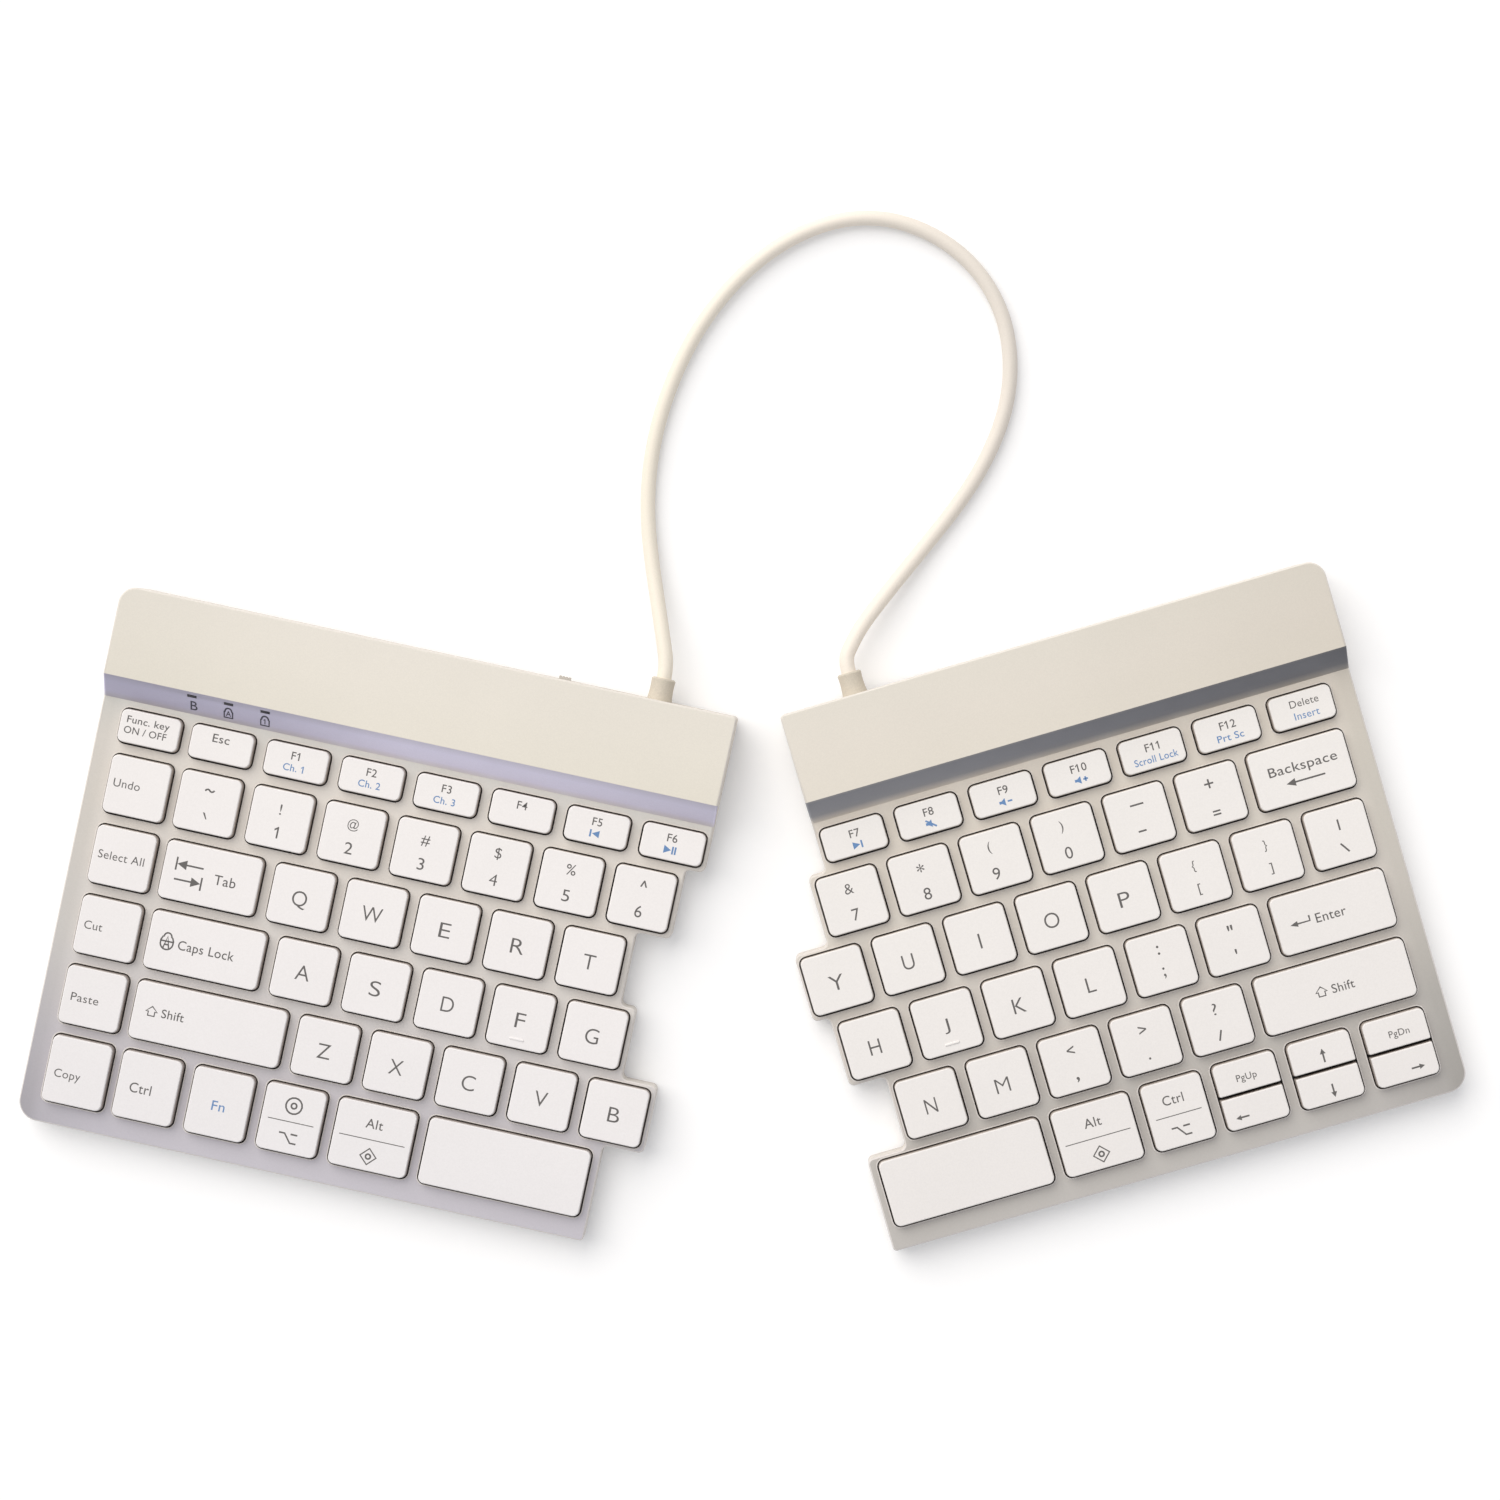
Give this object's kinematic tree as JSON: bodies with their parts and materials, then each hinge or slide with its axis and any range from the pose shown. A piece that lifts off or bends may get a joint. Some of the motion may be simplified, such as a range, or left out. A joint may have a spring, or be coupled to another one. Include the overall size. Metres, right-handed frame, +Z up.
{
  "type": "ergonomic split keyboard",
  "caption": "Low split keyboard in two interlocking halves joined by a flexible cable, with scissor keys, raised rear bars, indicator slots and half-height arrow keys.",
  "frame": {"origin": "centre of the two halves' footprint, on the surface they stand on", "axes": "+X to the typist's right along the width, +Y to the rear, +Z up"},
  "size_m": [0.371, 0.2666, 0.0145],
  "materials": {
    "case": "fine matt texture",
    "cover": "fine matt texture",
    "keycap": "matt, printed legends",
    "plate": "plain",
    "membrane": "plain film",
    "dome_rubber": "translucent",
    "scissor": "moulded",
    "wire": "drawn wire",
    "board": "lacquered board",
    "battery": "foil pouch",
    "port_metal": "plain",
    "knob": "matt",
    "light_guide": "clear moulded",
    "foot_rubber": "matt",
    "screw": "plain",
    "gland": "matt",
    "cable_jacket": "smooth jacket"
  },
  "bodies": {
    "left_half": {"left_bottom_case": "case", "left_top_cover": "cover", "left_switch_plate": "plate", "left_membrane": "membrane", "left_rubber_domes": "dome_rubber", "left_scissor_frames": "scissor", "left_stabiliser_wires": "wire", "left_main_board": "board", "battery": "battery", "charging_port": "port_metal", "indicator_light_guides": "light_guide", "left_feet": "foot_rubber", "left_screws": "screw", "left_cable_gland": "gland", "link_cable": "cable_jacket"},
    "right_half": {"right_bottom_case": "case", "right_top_cover": "cover", "right_switch_plate": "plate", "right_membrane": "membrane", "right_rubber_domes": "dome_rubber", "right_scissor_frames": "scissor", "right_stabiliser_wires": "wire", "right_link_board": "board", "right_feet": "foot_rubber", "right_screws": "screw", "right_cable_gland": "gland"},
    "power_switch_knob": {"power_switch_knob": "knob"},
    "function_lock": {"function_lock": "keycap"},
    "escape": {"escape": "keycap"},
    "function_row_left": {"function_row_left": "keycap"},
    "shortcut_keys": {"shortcut_keys": "keycap"},
    "digit_keys_left": {"digit_keys_left": "keycap"},
    "tab": {"tab": "keycap"},
    "top_letter_keys_left": {"top_letter_keys_left": "keycap"},
    "caps_lock": {"caps_lock": "keycap"},
    "home_letter_keys_left": {"home_letter_keys_left": "keycap"},
    "left_shift": {"left_shift": "keycap"},
    "bottom_letter_keys_left": {"bottom_letter_keys_left": "keycap"},
    "left_control": {"left_control": "keycap"},
    "fn": {"fn": "keycap"},
    "left_meta": {"left_meta": "keycap"},
    "left_alt": {"left_alt": "keycap"},
    "left_space": {"left_space": "keycap"},
    "function_row_right": {"function_row_right": "keycap"},
    "delete": {"delete": "keycap"},
    "digit_keys_right": {"digit_keys_right": "keycap"},
    "backspace": {"backspace": "keycap"},
    "top_letter_keys_right": {"top_letter_keys_right": "keycap"},
    "home_letter_keys_right": {"home_letter_keys_right": "keycap"},
    "enter": {"enter": "keycap"},
    "bottom_letter_keys_right": {"bottom_letter_keys_right": "keycap"},
    "right_shift": {"right_shift": "keycap"},
    "right_space": {"right_space": "keycap"},
    "right_alt": {"right_alt": "keycap"},
    "right_control": {"right_control": "keycap"},
    "page_keys": {"page_keys": "keycap"},
    "arrow_up": {"arrow_up": "keycap"},
    "arrow_left": {"arrow_left": "keycap"},
    "arrow_down": {"arrow_down": "keycap"},
    "arrow_right": {"arrow_right": "keycap"}
  },
  "joints": [
    {"name": "swing", "type": "hinge", "parent": "left_half", "child": "right_half", "pos_m": [0.00466, 0.06966, 0], "axis": [0, 0, 1], "range_deg": [-28.5, 10], "deforming": ["link_cable"]},
    {"name": "function_lock_press", "type": "slide", "parent": "left_half", "child": "function_lock", "axis": [0, 0, -1], "range_m": [0, 0.002], "stiffness_N_per_m": 250, "springref_m": -0.001, "deforming": ["left_rubber_domes", "left_scissor_frames", "left_stabiliser_wires"]},
    {"name": "escape_press", "type": "slide", "parent": "left_half", "child": "escape", "axis": [0, 0, -1], "range_m": [0, 0.002], "stiffness_N_per_m": 250, "springref_m": -0.001, "deforming": ["left_rubber_domes", "left_scissor_frames", "left_stabiliser_wires"]},
    {"name": "function_row_left_press", "type": "slide", "parent": "left_half", "child": "function_row_left", "axis": [0, 0, -1], "range_m": [0, 0.002], "stiffness_N_per_m": 1500, "springref_m": -0.001, "deforming": ["left_rubber_domes", "left_scissor_frames", "left_stabiliser_wires"]},
    {"name": "shortcut_keys_press", "type": "slide", "parent": "left_half", "child": "shortcut_keys", "axis": [0, 0, -1], "range_m": [0, 0.002], "stiffness_N_per_m": 1250, "springref_m": -0.001, "deforming": ["left_rubber_domes", "left_scissor_frames", "left_stabiliser_wires"]},
    {"name": "digit_keys_left_press", "type": "slide", "parent": "left_half", "child": "digit_keys_left", "axis": [0, 0, -1], "range_m": [0, 0.002], "stiffness_N_per_m": 1750, "springref_m": -0.001, "deforming": ["left_rubber_domes", "left_scissor_frames", "left_stabiliser_wires"]},
    {"name": "tab_press", "type": "slide", "parent": "left_half", "child": "tab", "axis": [0, 0, -1], "range_m": [0, 0.002], "stiffness_N_per_m": 250, "springref_m": -0.001, "deforming": ["left_rubber_domes", "left_scissor_frames", "left_stabiliser_wires"]},
    {"name": "top_letter_keys_left_press", "type": "slide", "parent": "left_half", "child": "top_letter_keys_left", "axis": [0, 0, -1], "range_m": [0, 0.002], "stiffness_N_per_m": 1250, "springref_m": -0.001, "deforming": ["left_rubber_domes", "left_scissor_frames", "left_stabiliser_wires"]},
    {"name": "caps_lock_press", "type": "slide", "parent": "left_half", "child": "caps_lock", "axis": [0, 0, -1], "range_m": [0, 0.002], "stiffness_N_per_m": 250, "springref_m": -0.001, "deforming": ["left_rubber_domes", "left_scissor_frames", "left_stabiliser_wires"]},
    {"name": "home_letter_keys_left_press", "type": "slide", "parent": "left_half", "child": "home_letter_keys_left", "axis": [0, 0, -1], "range_m": [0, 0.002], "stiffness_N_per_m": 1250, "springref_m": -0.001, "deforming": ["left_rubber_domes", "left_scissor_frames", "left_stabiliser_wires"]},
    {"name": "left_shift_press", "type": "slide", "parent": "left_half", "child": "left_shift", "axis": [0, 0, -1], "range_m": [0, 0.002], "stiffness_N_per_m": 250, "springref_m": -0.001, "deforming": ["left_rubber_domes", "left_scissor_frames", "left_stabiliser_wires"]},
    {"name": "bottom_letter_keys_left_press", "type": "slide", "parent": "left_half", "child": "bottom_letter_keys_left", "axis": [0, 0, -1], "range_m": [0, 0.002], "stiffness_N_per_m": 1250, "springref_m": -0.001, "deforming": ["left_rubber_domes", "left_scissor_frames", "left_stabiliser_wires"]},
    {"name": "left_control_press", "type": "slide", "parent": "left_half", "child": "left_control", "axis": [0, 0, -1], "range_m": [0, 0.002], "stiffness_N_per_m": 250, "springref_m": -0.001, "deforming": ["left_rubber_domes", "left_scissor_frames", "left_stabiliser_wires"]},
    {"name": "fn_press", "type": "slide", "parent": "left_half", "child": "fn", "axis": [0, 0, -1], "range_m": [0, 0.002], "stiffness_N_per_m": 250, "springref_m": -0.001, "deforming": ["left_rubber_domes", "left_scissor_frames", "left_stabiliser_wires"]},
    {"name": "left_meta_press", "type": "slide", "parent": "left_half", "child": "left_meta", "axis": [0, 0, -1], "range_m": [0, 0.002], "stiffness_N_per_m": 250, "springref_m": -0.001, "deforming": ["left_rubber_domes", "left_scissor_frames", "left_stabiliser_wires"]},
    {"name": "left_alt_press", "type": "slide", "parent": "left_half", "child": "left_alt", "axis": [0, 0, -1], "range_m": [0, 0.002], "stiffness_N_per_m": 250, "springref_m": -0.001, "deforming": ["left_rubber_domes", "left_scissor_frames", "left_stabiliser_wires"]},
    {"name": "left_space_press", "type": "slide", "parent": "left_half", "child": "left_space", "axis": [0, 0, -1], "range_m": [0, 0.002], "stiffness_N_per_m": 250, "springref_m": -0.001, "deforming": ["left_rubber_domes", "left_scissor_frames", "left_stabiliser_wires"]},
    {"name": "function_row_right_press", "type": "slide", "parent": "right_half", "child": "function_row_right", "axis": [0, 0, -1], "range_m": [0, 0.002], "stiffness_N_per_m": 1500, "springref_m": -0.001, "deforming": ["right_rubber_domes", "right_scissor_frames", "right_stabiliser_wires"]},
    {"name": "delete_press", "type": "slide", "parent": "right_half", "child": "delete", "axis": [0, 0, -1], "range_m": [0, 0.002], "stiffness_N_per_m": 250, "springref_m": -0.001, "deforming": ["right_rubber_domes", "right_scissor_frames", "right_stabiliser_wires"]},
    {"name": "digit_keys_right_press", "type": "slide", "parent": "right_half", "child": "digit_keys_right", "axis": [0, 0, -1], "range_m": [0, 0.002], "stiffness_N_per_m": 1500, "springref_m": -0.001, "deforming": ["right_rubber_domes", "right_scissor_frames", "right_stabiliser_wires"]},
    {"name": "backspace_press", "type": "slide", "parent": "right_half", "child": "backspace", "axis": [0, 0, -1], "range_m": [0, 0.002], "stiffness_N_per_m": 250, "springref_m": -0.001, "deforming": ["right_rubber_domes", "right_scissor_frames", "right_stabiliser_wires"]},
    {"name": "top_letter_keys_right_press", "type": "slide", "parent": "right_half", "child": "top_letter_keys_right", "axis": [0, 0, -1], "range_m": [0, 0.002], "stiffness_N_per_m": 2000, "springref_m": -0.001, "deforming": ["right_rubber_domes", "right_scissor_frames", "right_stabiliser_wires"]},
    {"name": "home_letter_keys_right_press", "type": "slide", "parent": "right_half", "child": "home_letter_keys_right", "axis": [0, 0, -1], "range_m": [0, 0.002], "stiffness_N_per_m": 1500, "springref_m": -0.001, "deforming": ["right_rubber_domes", "right_scissor_frames", "right_stabiliser_wires"]},
    {"name": "enter_press", "type": "slide", "parent": "right_half", "child": "enter", "axis": [0, 0, -1], "range_m": [0, 0.002], "stiffness_N_per_m": 250, "springref_m": -0.001, "deforming": ["right_rubber_domes", "right_scissor_frames", "right_stabiliser_wires"]},
    {"name": "bottom_letter_keys_right_press", "type": "slide", "parent": "right_half", "child": "bottom_letter_keys_right", "axis": [0, 0, -1], "range_m": [0, 0.002], "stiffness_N_per_m": 1250, "springref_m": -0.001, "deforming": ["right_rubber_domes", "right_scissor_frames", "right_stabiliser_wires"]},
    {"name": "right_shift_press", "type": "slide", "parent": "right_half", "child": "right_shift", "axis": [0, 0, -1], "range_m": [0, 0.002], "stiffness_N_per_m": 250, "springref_m": -0.001, "deforming": ["right_rubber_domes", "right_scissor_frames", "right_stabiliser_wires"]},
    {"name": "right_space_press", "type": "slide", "parent": "right_half", "child": "right_space", "axis": [0, 0, -1], "range_m": [0, 0.002], "stiffness_N_per_m": 250, "springref_m": -0.001, "deforming": ["right_rubber_domes", "right_scissor_frames", "right_stabiliser_wires"]},
    {"name": "right_alt_press", "type": "slide", "parent": "right_half", "child": "right_alt", "axis": [0, 0, -1], "range_m": [0, 0.002], "stiffness_N_per_m": 250, "springref_m": -0.001, "deforming": ["right_rubber_domes", "right_scissor_frames", "right_stabiliser_wires"]},
    {"name": "right_control_press", "type": "slide", "parent": "right_half", "child": "right_control", "axis": [0, 0, -1], "range_m": [0, 0.002], "stiffness_N_per_m": 250, "springref_m": -0.001, "deforming": ["right_rubber_domes", "right_scissor_frames", "right_stabiliser_wires"]},
    {"name": "page_keys_press", "type": "slide", "parent": "right_half", "child": "page_keys", "axis": [0, 0, -1], "range_m": [0, 0.002], "stiffness_N_per_m": 500, "springref_m": -0.001, "deforming": ["right_rubber_domes", "right_scissor_frames", "right_stabiliser_wires"]},
    {"name": "arrow_up_press", "type": "slide", "parent": "right_half", "child": "arrow_up", "axis": [0, 0, -1], "range_m": [0, 0.002], "stiffness_N_per_m": 250, "springref_m": -0.001, "deforming": ["right_rubber_domes", "right_scissor_frames", "right_stabiliser_wires"]},
    {"name": "arrow_left_press", "type": "slide", "parent": "right_half", "child": "arrow_left", "axis": [0, 0, -1], "range_m": [0, 0.002], "stiffness_N_per_m": 250, "springref_m": -0.001, "deforming": ["right_rubber_domes", "right_scissor_frames", "right_stabiliser_wires"]},
    {"name": "arrow_down_press", "type": "slide", "parent": "right_half", "child": "arrow_down", "axis": [0, 0, -1], "range_m": [0, 0.002], "stiffness_N_per_m": 250, "springref_m": -0.001, "deforming": ["right_rubber_domes", "right_scissor_frames", "right_stabiliser_wires"]},
    {"name": "arrow_right_press", "type": "slide", "parent": "right_half", "child": "arrow_right", "axis": [0, 0, -1], "range_m": [0, 0.002], "stiffness_N_per_m": 250, "springref_m": -0.001, "deforming": ["right_rubber_domes", "right_scissor_frames", "right_stabiliser_wires"]},
    {"name": "power_switch_slide", "type": "slide", "parent": "left_half", "child": "power_switch_knob", "axis": [0.9774, -0.2113, 0], "range_m": [0, 0.0025]}
  ]
}
